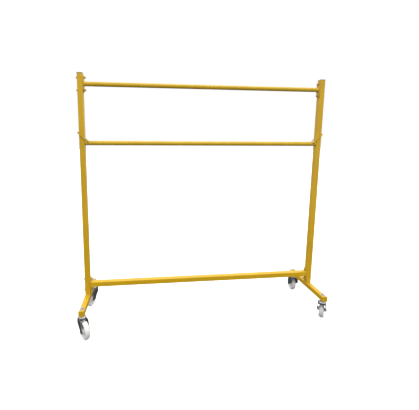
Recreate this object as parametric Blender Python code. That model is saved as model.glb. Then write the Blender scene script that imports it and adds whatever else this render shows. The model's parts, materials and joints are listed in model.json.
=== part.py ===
"""Rolling rack: two square posts on caster feet, a bolted bottom rail and top bar, and a lift bar.

The lift bar hangs on two slanted rod loops that grip the posts, so it can be moved up and down.
Units are metres, +Z is up, the floor is z = 0 and the rack faces -Y.
"""

import math

import bmesh
import bpy
from mathutils import Matrix, Vector

# Frame
POST_SPACING = 1.875          # between the post centre lines, along X
TUBE = 0.040                  # square tube of the posts, feet and rail
WALL = 0.002
CORNER = 0.004                # outside corner radius of the square tube
FOOT_TOP = 0.205
POST_TOP = 1.911
CAP_LIP = 0.004
CAP_PLUG = 0.014
FOOT_LENGTH = 0.458
FOOT_PLATE = 0.003
PLATE_SIDE = 0.042
RAIL_HEIGHT = 0.2865
TOP_BAR_HEIGHT = 1.838
BAR_RADIUS = 0.01685
GAP = 0.0003                  # left between pieces that touch

# Bolted flanges at the ends of the rail and of the top bar
FLANGE = 0.006
FLANGE_PITCH = 0.090          # between the two bolts, along Z
FLANGE_EAR = 0.015
BOLT_RADIUS = 0.005
BOLT_HOLE = 0.0053
BOLT_LENGTH = 0.0630

# Lift bar and its loops
LIFT_HEIGHT = 1.409
ROD_RADIUS = 0.004
LOOP_SLOPE = math.radians(43.5)
LOOP_CLEAR = 0.0015
LOOP_END = 0.048              # rod end, measured inwards from the post's centre line
LOOP_BEND = 0.014             # centre of the bend, measured outwards from the same line

# Casters
STEM_INSET = 0.030            # from the end of the foot to the stem
WHEEL_RADIUS = 0.0625
WHEEL_WIDTH = 0.036
TRAIL = 0.040
FORK_INSIDE = 0.048
FORK_STEEL = 0.005
CROWN_STEEL = 0.004
HUB_HALF = 0.0235
CROWN_TOP = 0.138
DISH_TOP = 0.143
STEM_RADIUS = 0.006
PIN_BORE = 0.00608            # running fits: the kingpin in the fork, the axle bolt in the wheel
WHEEL_BORE = 0.00506
SWIVELS = {"fl": 34.0, "fr": 142.0, "rl": -21.0, "rr": 171.0}


def clear_scene():
    for obj in list(bpy.data.objects):
        bpy.data.objects.remove(obj, do_unlink=True)


def material(name, color, metallic, roughness):
    mat = bpy.data.materials.new(name)
    mat.use_nodes = True
    shader = mat.node_tree.nodes["Principled BSDF"]
    shader.inputs["Base Color"].default_value = (*color, 1.0)
    shader.inputs["Metallic"].default_value = metallic
    shader.inputs["Roughness"].default_value = roughness
    mat.diffuse_color = (*color, 1.0)
    return mat


def mesh_from(name, verts, faces):
    mesh = bpy.data.meshes.new(name)
    mesh.from_pydata([tuple(v) for v in verts], [], faces)
    bm = bmesh.new()
    bm.from_mesh(mesh)
    bmesh.ops.remove_doubles(bm, verts=bm.verts, dist=1e-7)
    bmesh.ops.recalc_face_normals(bm, faces=bm.faces)
    bm.to_mesh(mesh)
    bm.free()
    return mesh


def loft(name, rings, closed=False):
    """Skin rings of equal length; capped at both ends, or closed back on itself."""
    count = len(rings[0])
    verts = [v for ring in rings for v in ring]
    faces = []
    for i in range(len(rings) - (0 if closed else 1)):
        a, b = i * count, (i + 1) % len(rings) * count
        for k in range(count):
            n = (k + 1) % count
            faces.append((a + k, a + n, b + n, b + k))
    if not closed:
        faces.append(tuple(reversed(range(count))))
        faces.append(tuple((len(rings) - 1) * count + k for k in range(count)))
    return mesh_from(name, verts, faces)


def circle(radius, z, count):
    return [
        Vector((radius * math.cos(t), radius * math.sin(t), z))
        for t in (2 * math.pi * k / count for k in range(count))
    ]


def hexagon(corner_radius, z):
    """Twelve points: the corners of a hexagon and the middles of its sides."""
    points = circle(corner_radius, z, 12)
    flat = math.cos(math.pi / 6)
    return [Vector((p.x * flat, p.y * flat, z)) if k % 2 else p for k, p in enumerate(points)]


def rounded_square(side, radius, z, steps=3):
    points = []
    for quarter in range(4):
        for k in range(steps + 1):
            t = math.pi / 2 * (quarter + k / steps)
            cx = (side / 2 - radius) * (1 if quarter in (0, 3) else -1)
            cy = (side / 2 - radius) * (1 if quarter in (0, 1) else -1)
            points.append(Vector((cx + radius * math.cos(t), cy + radius * math.sin(t), z)))
    return points


def square_tube(name, length):
    """Open square tube along Z, centred on the origin."""
    half = length / 2
    rings = []
    for side, radius, z in (
        (TUBE, CORNER, -half), (TUBE, CORNER, half),
        (TUBE - 2 * WALL, CORNER - WALL, half), (TUBE - 2 * WALL, CORNER - WALL, -half),
    ):
        rings.append(rounded_square(side, radius, z))
    return loft(name, rings, closed=True)


def round_tube(name, length, count=28):
    half, inner = length / 2, BAR_RADIUS - WALL
    rings = [
        circle(BAR_RADIUS, -half, count), circle(BAR_RADIUS, half, count),
        circle(inner, half, count), circle(inner, -half, count),
    ]
    return loft(name, rings, closed=True)


def extrude(name, outline, z0, z1):
    return loft(name, [[Vector((x, y, z)) for x, y in outline] for z in (z0, z1)])


def cylinder(name, radius, z0, z1, count=16):
    return loft(name, [circle(radius, z0, count), circle(radius, z1, count)])


def lathe(name, profile, count, closed=True):
    return loft(name, [circle(r, z, count) for r, z in profile], closed=closed)


def turned(mesh, rotation, location=(0, 0, 0)):
    mesh.transform(Matrix.Translation(location) @ rotation)
    return mesh


def carve(mesh, steps):
    """Apply a list of (operation, tool mesh) Booleans and return the finished mesh."""
    body = bpy.data.objects.new("carve_body", mesh)
    bpy.context.scene.collection.objects.link(body)
    helpers = [body]
    for number, (operation, tool_mesh) in enumerate(steps):
        tool = bpy.data.objects.new(f"carve_tool_{number}", tool_mesh)
        tool.hide_render = True
        tool.display_type = "WIRE"
        bpy.context.scene.collection.objects.link(tool)
        helpers.append(tool)
        cut = body.modifiers.new(f"cut_{number}", "BOOLEAN")
        cut.operation = operation
        cut.solver = "EXACT"
        cut.object = tool
    graph = bpy.context.evaluated_depsgraph_get()
    finished = bpy.data.meshes.new_from_object(body.evaluated_get(graph))
    finished.name = mesh.name
    for helper in helpers:
        bpy.data.objects.remove(helper, do_unlink=True)
    return finished


ALONG_X = Matrix.Rotation(math.pi / 2, 4, "Y")
ALONG_Y = Matrix.Rotation(-math.pi / 2, 4, "X")


def place(name, mesh, mat, location=(0, 0, 0), rotation=(0, 0, 0), parent=None):
    """Link one named piece; its mesh is copied so every piece keeps its own material."""
    own = mesh.copy()
    own.name = name
    own.materials.clear()
    own.materials.append(mat)
    for poly in own.polygons:
        poly.use_smooth = True
    own.set_sharp_from_angle(angle=math.radians(34))
    obj = bpy.data.objects.new(name, own)
    bpy.context.scene.collection.objects.link(obj)
    obj.location = location
    obj.rotation_euler = rotation
    obj.parent = parent
    return obj


def empty(name, location, angle=0.0, parent=None):
    obj = bpy.data.objects.new(name, None)
    bpy.context.scene.collection.objects.link(obj)
    obj.location = location
    obj.rotation_euler = (0, 0, angle)
    obj.parent = parent
    return obj


def arc(cx, cy, radius, start, stop, steps):
    return [
        (cx + radius * math.cos(math.radians(start + (stop - start) * k / steps)),
         cy + radius * math.sin(math.radians(start + (stop - start) * k / steps)))
        for k in range(steps + 1)
    ]


def flange_mesh():
    """Two-bolt flange in the XY plane, its bolts along Y, its thickness along Z."""
    ear = FLANGE_PITCH / 2 + 0.002
    outline = (
        arc(0, ear, FLANGE_EAR, 20, 160, 6)
        + [(-TUBE / 2, 0.019), (-TUBE / 2, -0.019)]
        + arc(0, -ear, FLANGE_EAR, 200, 340, 6)
        + [(TUBE / 2, -0.019), (TUBE / 2, 0.019)]
    )
    plate = extrude("flange", outline, 0, FLANGE)
    holes = []
    for sign in (-1, 1):
        hole = cylinder("hole", BOLT_HOLE, -0.01, FLANGE + 0.01)
        holes.append(("DIFFERENCE", turned(hole, Matrix(), (0, sign * FLANGE_PITCH / 2, 0))))
    return carve(plate, holes)


def bolt_mesh(radius, length, corner, head, washer):
    """Washer-faced hex bolt along Z: its seat is z = 0 and the shank points down."""
    return loft("bolt", [
        circle(radius - 0.0008, -length, 12), circle(radius, -length + 0.0010, 12),
        circle(radius, 0, 12), circle(washer, 0, 12), circle(washer, 0.0018, 12),
        hexagon(corner, 0.0024), hexagon(corner, head - 0.0008), hexagon(corner * 0.90, head),
    ])


def nut_mesh(bore, washer, corner, height):
    """Nut on a fixed washer, along +Z from z = 0."""
    return loft("nut", [
        circle(bore, 0, 12), circle(washer, 0, 12), circle(washer, 0.0018, 12),
        hexagon(corner, 0.0024), hexagon(corner, height - 0.0008),
        hexagon(corner * 0.90, height), circle(bore, height, 12),
    ], closed=True)


def post_mesh(side):
    """Post along Z with the four bolt holes of the rail and top bar flanges, in rack height."""
    bottom = FOOT_TOP + GAP
    tube = square_tube("post", POST_TOP - bottom)
    turned(tube, Matrix(), (0, 0, (POST_TOP + bottom) / 2))
    holes = []
    for height in (RAIL_HEIGHT, TOP_BAR_HEIGHT):
        for sign in (-1, 1):
            hole = turned(cylinder("hole", BOLT_HOLE, -TUBE, TUBE), ALONG_X,
                          (0, 0, height + sign * FLANGE_PITCH / 2))
            holes.append(("DIFFERENCE", hole))
    return carve(tube, holes)


def foot_mesh():
    """Foot along Y with the two caster stem holes, its axis at z = 0."""
    length = FOOT_LENGTH - 2 * (FOOT_PLATE + GAP)
    tube = turned(square_tube("foot", length), ALONG_Y)
    holes = []
    for sign in (-1, 1):
        hole = cylinder("hole", STEM_RADIUS + GAP, -TUBE, TUBE, 20)
        holes.append(("DIFFERENCE", turned(hole, Matrix(), (0, sign * stem_y(), 0))))
    return carve(tube, holes)


def stem_y():
    return FOOT_LENGTH / 2 - STEM_INSET


def cap_mesh():
    """Plastic plug with a domed lip, its lip resting on z = 0."""
    inner = TUBE - 2 * WALL - 2 * GAP
    lip = TUBE + 0.001
    return loft("cap", [
        rounded_square(inner - 0.002, 0.0015, -CAP_PLUG), rounded_square(inner, 0.0015, -CAP_PLUG + 0.002),
        rounded_square(inner, 0.0015, GAP), rounded_square(lip, CORNER, GAP),
        rounded_square(lip, CORNER, CAP_LIP - 0.0012), rounded_square(lip - 0.003, CORNER, CAP_LIP),
    ])


def rod_path():
    """Rod centre line for the left post: (inwards, y, up) from the post line at bar height."""
    near = -(BAR_RADIUS + ROD_RADIUS + GAP)
    wide = -(TUBE / 2 + ROD_RADIUS + LOOP_CLEAR)
    run = (LOOP_END + LOOP_BEND) / math.cos(LOOP_SLOPE)
    flat = [(0.0, near), (0.010, near), (0.020, near)]
    for k in range(1, 5):
        s = k / 5
        flat.append((0.020 + 0.018 * s, near + (wide - near) * s * s * (3 - 2 * s)))
    flat += [(0.038, wide), (0.062, wide), (run, wide)]
    bend = [(run - wide * math.sin(math.pi * k / 12), wide * math.cos(math.pi * k / 12)) for k in range(1, 12)]
    path = flat + bend + [(u, -v) for u, v in reversed(flat)]
    return [
        Vector((LOOP_END - u * math.cos(LOOP_SLOPE), v, 0.004 + u * math.sin(LOOP_SLOPE)))
        for u, v in path
    ]


def loop_mesh(mirror):
    path = rod_path()
    normal = Vector((math.sin(LOOP_SLOPE), 0, math.cos(LOOP_SLOPE)))
    rings = []
    for k, point in enumerate(path):
        ahead = path[min(k + 1, len(path) - 1)] - path[max(k - 1, 0)]
        across = ahead.normalized().cross(normal).normalized()
        ring = []
        for i in range(12):
            t = 2 * math.pi * i / 12
            offset = across * math.cos(t) + normal * math.sin(t)
            ring.append(point + offset * ROD_RADIUS)
        rings.append(ring)
    if mirror:
        rings = [[Vector((-p.x, p.y, p.z)) for p in ring] for ring in rings]
    return loft("loop", rings)


def fork_mesh():
    """Stamped fork: swivel axis at the origin, wheel trailing along +X, heights above the floor."""
    half = FORK_INSIDE / 2 + FORK_STEEL
    side = [(-0.028, 0.096), (-0.028, CROWN_TOP - 0.004), (-0.024, CROWN_TOP)]
    side += [(0.028, CROWN_TOP), (0.034, CROWN_TOP - 0.005)]
    side += arc(TRAIL, WHEEL_RADIUS, 0.018, 22, -132, 8)
    block = loft("fork", [[Vector((x, y, z)) for x, z in side] for y in (-half, half)])
    dish = lathe("dish", [(0.024, CROWN_TOP - 0.0015), (0.0265, CROWN_TOP + 0.002), (0.0265, DISH_TOP)],
                 24, closed=False)
    inside = loft("inside", [
        [Vector((x, y, z)) for x, y in ((-0.05, -FORK_INSIDE / 2), (0.09, -FORK_INSIDE / 2),
                                        (0.09, FORK_INSIDE / 2), (-0.05, FORK_INSIDE / 2))]
        for z in (0.02, CROWN_TOP - CROWN_STEEL)
    ])
    axle = turned(cylinder("axle", BOLT_HOLE, -0.05, 0.05), ALONG_Y, (TRAIL, 0, WHEEL_RADIUS))
    pin = cylinder("pin", PIN_BORE, 0.10, 0.17, 32)
    return carve(block, [("UNION", dish), ("DIFFERENCE", inside), ("DIFFERENCE", axle), ("DIFFERENCE", pin)])


def head_mesh():
    """Kingpin, swivel cover, base collar and threaded stem, turned in one piece."""
    seat = FOOT_TOP - TUBE - GAP
    return lathe("head", [
        (0.0085, CROWN_TOP - 0.0095), (0.0100, CROWN_TOP - 0.0081), (0.0100, CROWN_TOP - 0.0044),
        (STEM_RADIUS, CROWN_TOP - 0.0044), (STEM_RADIUS, DISH_TOP + 0.0004), (0.0245, DISH_TOP + 0.0004),
        (0.0245, DISH_TOP + 0.0032), (0.0195, DISH_TOP + 0.0062), (0.0195, seat), (STEM_RADIUS, seat), (STEM_RADIUS, 0.2195), (0.0050, 0.2210),
    ], 24, closed=False)


def wheel_mesh():
    """Moulded wheel about the Y axis, centred on its own axle."""
    half = WHEEL_WIDTH / 2
    side = [
        (WHEEL_BORE, HUB_HALF), (0.0150, HUB_HALF), (0.0170, HUB_HALF - 0.0020), (0.0185, 0.0090),
        (0.0455, 0.0090), (0.0485, half - 0.0015), (0.0560, half), (0.0600, half - 0.0035),
        (WHEEL_RADIUS, half - 0.0100),
    ]
    profile = [(r, w) for r, w in side] + [(r, -w) for r, w in reversed(side)]
    return turned(lathe("wheel", profile, 36), ALONG_Y)


def build_frame(steel, paint, plastic):
    """Posts, caps, feet, rail, top bar and their fasteners."""
    root = empty("rack", (0, 0, 0))
    posts, foot, cap, flange = post_mesh(1), foot_mesh(), cap_mesh(), flange_mesh()
    plate = loft("plate", [rounded_square(PLATE_SIDE, 0.002, z) for z in (0, FOOT_PLATE)])
    turned(plate, ALONG_Y)
    bolt = bolt_mesh(BOLT_RADIUS, BOLT_LENGTH, 0.0092, 0.0092, 0.0115)
    nut = nut_mesh(BOLT_HOLE, 0.0115, 0.0092, 0.0092)
    span = POST_SPACING - TUBE - 4 * GAP - 2 * FLANGE
    rail = turned(square_tube("rail", span), ALONG_X)
    bar = turned(round_tube("bar", span), ALONG_X)
    place("bottom_rail", rail, paint["rail"], (0, 0, RAIL_HEIGHT), parent=root)
    place("top_bar", bar, paint["bar"], (0, 0, TOP_BAR_HEIGHT), parent=root)
    for word, sign in (("left", -1), ("right", 1)):
        x = sign * POST_SPACING / 2
        place(f"{word}_post", posts, paint["post"], (x, 0, 0), parent=root)
        place(f"{word}_post_cap", cap, plastic, (x, 0, POST_TOP), parent=root)
        place(f"{word}_foot", foot, paint["foot"], (x, 0, FOOT_TOP - TUBE / 2), parent=root)
        for end, y in (("front", -FOOT_LENGTH / 2), ("rear", FOOT_LENGTH / 2 - FOOT_PLATE)):
            place(f"{word}_foot_{end}_plate", plate, paint["foot"], (x, y, FOOT_TOP - TUBE / 2), parent=root)
        inner = x - sign * (TUBE / 2 + GAP)
        outer = x + sign * (TUBE / 2 + GAP)
        # local Z of the flange, nut and bolt head turned to face along X
        inward = (math.pi / 2, 0, -sign * math.pi / 2)
        outward = (0, sign * math.pi / 2, 0)
        for piece, height in (("bottom_rail", RAIL_HEIGHT), ("top_bar", TOP_BAR_HEIGHT)):
            place(f"{piece}_{word}_flange", flange, paint["flange"], (inner, 0, height), inward, root)
            for level, step in (("upper", 1), ("lower", -1)):
                z = height + step * FLANGE_PITCH / 2
                seat = inner - sign * (FLANGE + GAP)
                place(f"{piece}_{word}_{level}_bolt", bolt, steel["bolt"], (outer, 0, z), outward, root)
                place(f"{piece}_{word}_{level}_nut", nut, paint["nut"], (seat, 0, z),
                      (0, -sign * math.pi / 2, 0), root)
    return root


def build_lift_bar(root, paint):
    """The bar that slides on the posts, and the loops welded to its ends."""
    slide = empty("lift_bar_slide", (0, 0, LIFT_HEIGHT), parent=root)
    length = POST_SPACING - TUBE - 0.004
    bar = turned(round_tube("lift", length), ALONG_X)
    place("lift_bar", bar, paint["bar"], parent=slide)
    for word, sign in (("left", -1), ("right", 1)):
        place(f"lift_bar_{word}_loop", loop_mesh(sign > 0), paint["flange"],
              (sign * POST_SPACING / 2, 0, 0), parent=slide)


def build_casters(root, steel, nylon):
    """Four swivel casters, each turned to its own heading."""
    fork, head, wheel = fork_mesh(), head_mesh(), wheel_mesh()
    stem_nut = nut_mesh(STEM_RADIUS + GAP, 0.0145, 0.0109, 0.0115)
    axle = bolt_mesh(BOLT_RADIUS, 0.0666, 0.0092, 0.0055, 0.0105)
    axle_nut = nut_mesh(BOLT_HOLE, 0.0105, 0.0092, 0.0065)
    half = FORK_INSIDE / 2 + FORK_STEEL + GAP
    for corner, (sx, sy) in {"fl": (-1, -1), "fr": (1, -1), "rl": (-1, 1), "rr": (1, 1)}.items():
        x, y = sx * POST_SPACING / 2, sy * stem_y()
        name = f"caster_{corner}"
        place(f"{name}_head", head, steel["head"], (x, y, 0), parent=root)
        place(f"{name}_stem_nut", stem_nut, steel["bolt"], (x, y, FOOT_TOP + GAP), parent=root)
        heading = math.radians(SWIVELS[corner] - 90)
        swivel = empty(f"{name}_swivel", (x, y, 0), heading, root)
        place(f"{name}_fork", fork, steel["fork"], parent=swivel)
        place(f"{name}_axle_bolt", axle, steel["bolt"], (TRAIL, half, WHEEL_RADIUS),
              (-math.pi / 2, 0, 0), swivel)
        place(f"{name}_axle_nut", axle_nut, steel["bolt"], (TRAIL, -half, WHEEL_RADIUS),
              (math.pi / 2, 0, 0), swivel)
        place(f"{name}_wheel", wheel, nylon, (TRAIL, 0, WHEEL_RADIUS), parent=swivel)


def main():
    clear_scene()
    yellow = (0.60, 0.36, 0.035)
    paint = {
        "post": material("post_paint", yellow, 0.0, 0.42),
        "rail": material("rail_paint", yellow, 0.0, 0.42),
        "foot": material("foot_paint", yellow, 0.0, 0.42),
        "bar": material("bar_paint", (0.62, 0.38, 0.05), 0.0, 0.38),
        "flange": material("flange_paint", (0.56, 0.33, 0.03), 0.0, 0.45),
        "nut": material("nut_paint", (0.52, 0.33, 0.05), 0.2, 0.45),
    }
    steel = {
        "bolt": material("zinc_fastener", (0.62, 0.63, 0.64), 1.0, 0.34),
        "head": material("zinc_swivel", (0.66, 0.68, 0.70), 1.0, 0.30),
        "fork": material("fork_steel", (0.20, 0.21, 0.20), 0.9, 0.45),
    }
    plastic = material("cap_plastic", (0.012, 0.012, 0.012), 0.0, 0.5)
    nylon = material("wheel_nylon", (0.74, 0.73, 0.70), 0.0, 0.45)
    root = build_frame(steel, paint, plastic)
    build_lift_bar(root, paint)
    build_casters(root, steel, nylon)


main()
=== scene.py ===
"""Looks of a rolling rack: painted tubes, bolted flanges, a lift bar on rod loops and four casters.

Every size is in metres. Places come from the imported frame; each class holds the sizes of its own pieces.
"""

import json
import logging
import math
from dataclasses import dataclass, field
from enum import Enum
from itertools import product
from typing import Callable, Iterable, Sequence

import bmesh
import bpy
from bpy.types import ID, Material, Mesh, Node, NodeSocket, NodeTree, Object
from mathutils import Matrix, Vector


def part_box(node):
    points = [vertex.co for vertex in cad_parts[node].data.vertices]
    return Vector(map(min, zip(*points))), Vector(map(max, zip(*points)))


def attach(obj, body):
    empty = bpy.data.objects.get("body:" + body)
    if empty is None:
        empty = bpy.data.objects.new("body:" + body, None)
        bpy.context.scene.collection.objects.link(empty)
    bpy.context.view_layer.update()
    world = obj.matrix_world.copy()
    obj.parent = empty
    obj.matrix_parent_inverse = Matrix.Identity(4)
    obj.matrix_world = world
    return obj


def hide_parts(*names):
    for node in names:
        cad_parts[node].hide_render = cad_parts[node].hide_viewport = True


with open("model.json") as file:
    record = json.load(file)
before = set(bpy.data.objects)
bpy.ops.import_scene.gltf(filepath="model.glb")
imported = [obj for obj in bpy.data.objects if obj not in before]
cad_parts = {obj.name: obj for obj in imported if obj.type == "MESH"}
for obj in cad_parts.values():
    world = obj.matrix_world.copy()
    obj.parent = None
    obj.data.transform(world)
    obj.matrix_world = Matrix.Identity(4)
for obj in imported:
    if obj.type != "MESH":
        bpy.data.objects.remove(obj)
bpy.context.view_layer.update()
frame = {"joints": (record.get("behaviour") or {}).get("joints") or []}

LOG = logging.getLogger("rolling_rack")
Ring = list[Vector]
Profile = list[tuple[float, float]]
Triple = tuple[float, float, float]
Color = Triple

MEMBERS = ("bottom_rail", "top_bar")
ENDS = ("front", "rear")
WEAR_PER_RADIAN = 1.6

# Turns of a mesh made along Z: onto X, onto -Y, and end for end.
ONTO_X = Matrix.Rotation(math.pi / 2, 4, "Y")
ONTO_BACK = Matrix.Rotation(math.pi / 2, 4, "X")
END_FOR_END = Matrix.Rotation(math.pi, 4, "X")


class Slot(Enum):
    """Material slots of the record."""

    TUBE = "tube_paint"
    BAR = "bar_paint"
    BRACKET = "bracket_paint"
    NUT = "nut_paint"
    FASTENER = "fastener_zinc"
    SWIVEL = "swivel_zinc"
    FORK = "fork_steel"
    CAP = "cap_plastic"
    WHEEL = "wheel_nylon"


class Side(Enum):
    """The two ends of the rack, with the sign of their x."""

    LEFT = -1
    RIGHT = 1

    @property
    def word(self) -> str:
        """The side's name as the nodes spell it."""
        return self.name.lower()


class Corner(Enum):
    """The four casters."""

    FRONT_LEFT = "fl"
    FRONT_RIGHT = "fr"
    REAR_LEFT = "rl"
    REAR_RIGHT = "rr"


class Axis(Enum):
    """Direction of a tube, as an index into a vector."""

    X = 0
    Y = 1
    Z = 2


# ---- Node graphs


class Graph:
    """A thin wrapper that adds and links nodes of one tree."""

    def __init__(self, tree: NodeTree) -> None:
        """Keep the tree.

        Args:
            tree: Shader or geometry node tree to fill.
        """
        self.tree = tree

    def add(self, kind: str, settings: dict | None = None, **inputs: object) -> Node:
        """Add a node and set or link its inputs.

        Args:
            kind: The node's bl_idname.
            settings: Properties of the node itself.
            **inputs: Socket names (underscores for spaces) to a value or an output socket.

        Returns:
            The new node.
        """
        node = self.tree.nodes.new(kind)
        for name, value in (settings or {}).items():
            setattr(node, name, value)
        for name, value in inputs.items():
            self.feed(node.inputs[name.replace("_", " ")], value)
        return node

    def feed(self, socket: NodeSocket, value: object) -> None:
        """Link an output into a socket, or set the socket's own value.

        Args:
            socket: Input to fill.
            value: Output socket or plain value.
        """
        if isinstance(value, NodeSocket):
            self.tree.links.new(value, socket)
        else:
            socket.default_value = value

    def math(self, operation: str, a: object, b: object = 0.0, clamp: bool = False) -> NodeSocket:
        """Add a Math node.

        Args:
            operation: Name of the operation.
            a: First operand, a number or a socket.
            b: Second operand, a number or a socket.
            clamp: Whether the result is held between 0 and 1.

        Returns:
            The result socket.
        """
        node = self.tree.nodes.new("ShaderNodeMath")
        node.operation, node.use_clamp = operation, clamp
        self.feed(node.inputs[0], a)
        self.feed(node.inputs[1], b)
        return node.outputs[0]

    def mul(self, a: object, b: object) -> NodeSocket:
        """Multiply two numbers or sockets."""
        return self.math("MULTIPLY", a, b)

    def plus(self, a: object, b: object, clamp: bool = False) -> NodeSocket:
        """Add two numbers or sockets."""
        return self.math("ADD", a, b, clamp)

    def ramp(self, value: object, low: float, high: float, start: float = 0.0, stop: float = 1.0) -> NodeSocket:
        """Map low..high smoothly and clamped onto start..stop.

        Args:
            value: Socket to map.
            low: Input that gives start.
            high: Input that gives stop.
            start: Output at low.
            stop: Output at high.

        Returns:
            The mapped socket.
        """
        node = self.tree.nodes.new("ShaderNodeMapRange")
        node.interpolation_type = "SMOOTHSTEP"
        for index, item in enumerate((value, low, high, start, stop)):
            self.feed(node.inputs[index], item)
        return node.outputs[0]


# ---- Finishes


class Surface(Graph):
    """The graph of one material, with its shader and Object coordinates at hand."""

    def __init__(self, mat: Material) -> None:
        """Start from the nodes that a new material has.

        Args:
            mat: The new material.
        """
        super().__init__(mat.node_tree)
        self.shader = mat.node_tree.nodes["Principled BSDF"]
        self.where = self.add("ShaderNodeTexCoord").outputs["Object"]

    def give(self, **inputs: object) -> None:
        """Link or set inputs of the shader, named with underscores for spaces."""
        for name, value in inputs.items():
            self.feed(self.shader.inputs[name.replace("_", " ")], value)

    def noise(self, scale: float | Sequence[float], detail: float = 3.0, rough: float = 0.55) -> NodeSocket:
        """Add a noise on the Object coordinates.

        Args:
            scale: One scale, or one for each axis, so that the pattern runs along one of them.
            detail: Octaves of the noise.
            rough: Weight of the finer octaves.

        Returns:
            The noise's factor.
        """
        where = self.where
        if not isinstance(scale, float):
            where, scale = self.add("ShaderNodeMapping", None, Vector=where, Scale=scale).outputs[0], 1.0
        noise = self.add("ShaderNodeTexNoise", None, Vector=where, Scale=scale, Detail=detail, Roughness=rough)
        return noise.outputs[0]

    def blend(self, factor: NodeSocket, a: NodeSocket | Color, b: NodeSocket | Color) -> NodeSocket:
        """Mix two colours.

        Args:
            factor: Share of the second colour.
            a: First colour, linear or a socket.
            b: Second colour, linear or a socket.

        Returns:
            The mixed colour.
        """
        node = self.add("ShaderNodeMix", {"data_type": "RGBA"})
        for index, value in ((0, factor), (6, a), (7, b)):
            self.feed(node.inputs[index], (*value, 1.0) if isinstance(value, tuple) else value)
        return node.outputs[2]

    def attribute(self, name: str) -> NodeSocket:
        """Read a float attribute of the mesh."""
        return self.add("ShaderNodeAttribute", {"attribute_name": name}).outputs["Fac"]

    def bump(self, height: NodeSocket, strength: float, distance: float) -> None:
        """Turn a height into the shader's normal."""
        node = self.add("ShaderNodeBump", None, Height=height, Strength=strength, Distance=distance)
        self.give(Normal=node.outputs[0])


@dataclass(frozen=True)
class Finish:
    """Base of every finish: one material, built once and shared."""

    name: str
    color: Color

    def material(self) -> Material:
        """Build the finish's material the first time it is asked for.

        Returns:
            The material.
        """
        known = bpy.data.materials.get(self.name)
        if known:
            return known
        mat = bpy.data.materials.new(self.name)
        mat.use_nodes = True
        mat.diffuse_color = (*self.color, 1.0)
        self.dress(Surface(mat))
        return mat

    def dress(self, g: Surface) -> None:
        """Fill the material's nodes; each finish has its own."""
        raise NotImplementedError


@dataclass(frozen=True)
class Enamel(Finish):
    """Sprayed yellow enamel with orange peel, faint sags, handling marks and worn edges."""

    shade: Color = (0.46, 0.265, 0.006)
    dust: Color = (0.66, 0.52, 0.20)
    primer: Color = (0.20, 0.15, 0.10)
    roughness: float = 0.33
    peel: float = 420.0
    coat: float = 0.10
    wear: float = 1.0

    def dress(self, g: Surface) -> None:
        """Build the enamel.

        Args:
            g: Graph of the material.
        """
        broad = g.noise(7.0, 4.0)
        fine = g.noise(46.0, 5.0, 0.62)
        runs = g.noise((70.0, 70.0, 6.0))
        color = g.blend(g.ramp(broad, 0.34, 0.68, 0.0, 0.30), self.color, self.shade)
        color = g.blend(g.ramp(runs, 0.50, 0.80, 0.0, 0.16), color, self.shade)
        up = g.add("ShaderNodeSeparateXYZ", None, Vector=g.add("ShaderNodeNewGeometry").outputs["Normal"])
        settled = g.mul(g.ramp(up.outputs[2], 0.55, 0.98), g.ramp(fine, 0.40, 0.74, 0.0, 0.14))
        color = g.blend(settled, color, self.dust)
        scuff = g.ramp(g.noise((30.0, 190.0, 260.0), 6.0, 0.7), 0.66, 0.74, 0.0, 0.35)
        color = g.blend(scuff, color, self.shade)
        speck = g.noise(210.0, 6.0, 0.62)
        worn = g.mul(g.attribute("wear"), self.wear)
        torn = g.plus(g.mul(worn, 0.55), g.mul(fine, 0.35))
        chips = g.ramp(g.plus(torn, g.mul(speck, 0.9)), 1.27, 1.31)
        color = g.blend(g.mul(worn, 0.10), color, self.dust)
        color = g.blend(chips, color, self.primer)
        g.give(Base_Color=color)
        gloss = g.plus(g.ramp(broad, 0.3, 0.7, self.roughness - 0.05, self.roughness + 0.07), scuff)
        g.give(Roughness=g.plus(gloss, g.mul(settled, 0.4), True))
        g.give(Coat_Weight=self.coat, Coat_Roughness=0.16)
        g.give(Specular_IOR_Level=0.36, Specular_Tint=(1.0, 0.95, 0.72, 1.0))
        peel = g.noise(self.peel, 2.0, 0.5)
        height = g.plus(g.mul(peel, 0.35), g.mul(runs, 0.30))
        height = g.math("SUBTRACT", height, g.mul(chips, 0.5))
        g.bump(height, 0.13, 0.0008)


@dataclass(frozen=True)
class Plated(Finish):
    """Zinc plated steel: mottled crystals, a tinted passivation and dull handling marks."""

    tint: Color = (0.50, 0.55, 0.62)
    grime: Color = (0.13, 0.12, 0.11)
    roughness: float = 0.30
    soil: float = 0.35
    metal: float = 1.0

    def dress(self, g: Surface) -> None:
        """Build the plating.

        Args:
            g: Graph of the material.
        """
        spangle = g.add("ShaderNodeTexVoronoi", None, Vector=g.where, Scale=260.0).outputs["Color"]
        grain = g.add("ShaderNodeSeparateXYZ", None, Vector=spangle).outputs[0]
        cloud = g.noise(60.0, 4.0)
        fine = g.noise(900.0, 3.0)
        color = g.blend(g.ramp(cloud, 0.35, 0.70, 0.0, 0.75), self.color, self.tint)
        color = g.blend(g.mul(grain, 0.16), color, self.grime)
        dirt = g.ramp(g.noise(115.0, 6.0, 0.65), 0.50, 0.66, 0.0, self.soil)
        color = g.blend(dirt, color, self.grime)
        rubbed = g.mul(g.attribute("wear"), g.ramp(cloud, 0.40, 0.60, 0.15, 0.60))
        color = g.blend(rubbed, color, tuple(min(1.0, c * 1.7 + 0.12) for c in self.color))
        g.give(Base_Color=color, Metallic=self.metal)
        gloss = g.ramp(cloud, 0.3, 0.7, self.roughness - 0.06, self.roughness + 0.10)
        g.give(Roughness=g.plus(gloss, g.mul(dirt, 0.5), True))
        height = g.plus(g.mul(fine, 0.4), g.mul(grain, 0.25))
        g.bump(height, 0.16, 0.0004)


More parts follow.
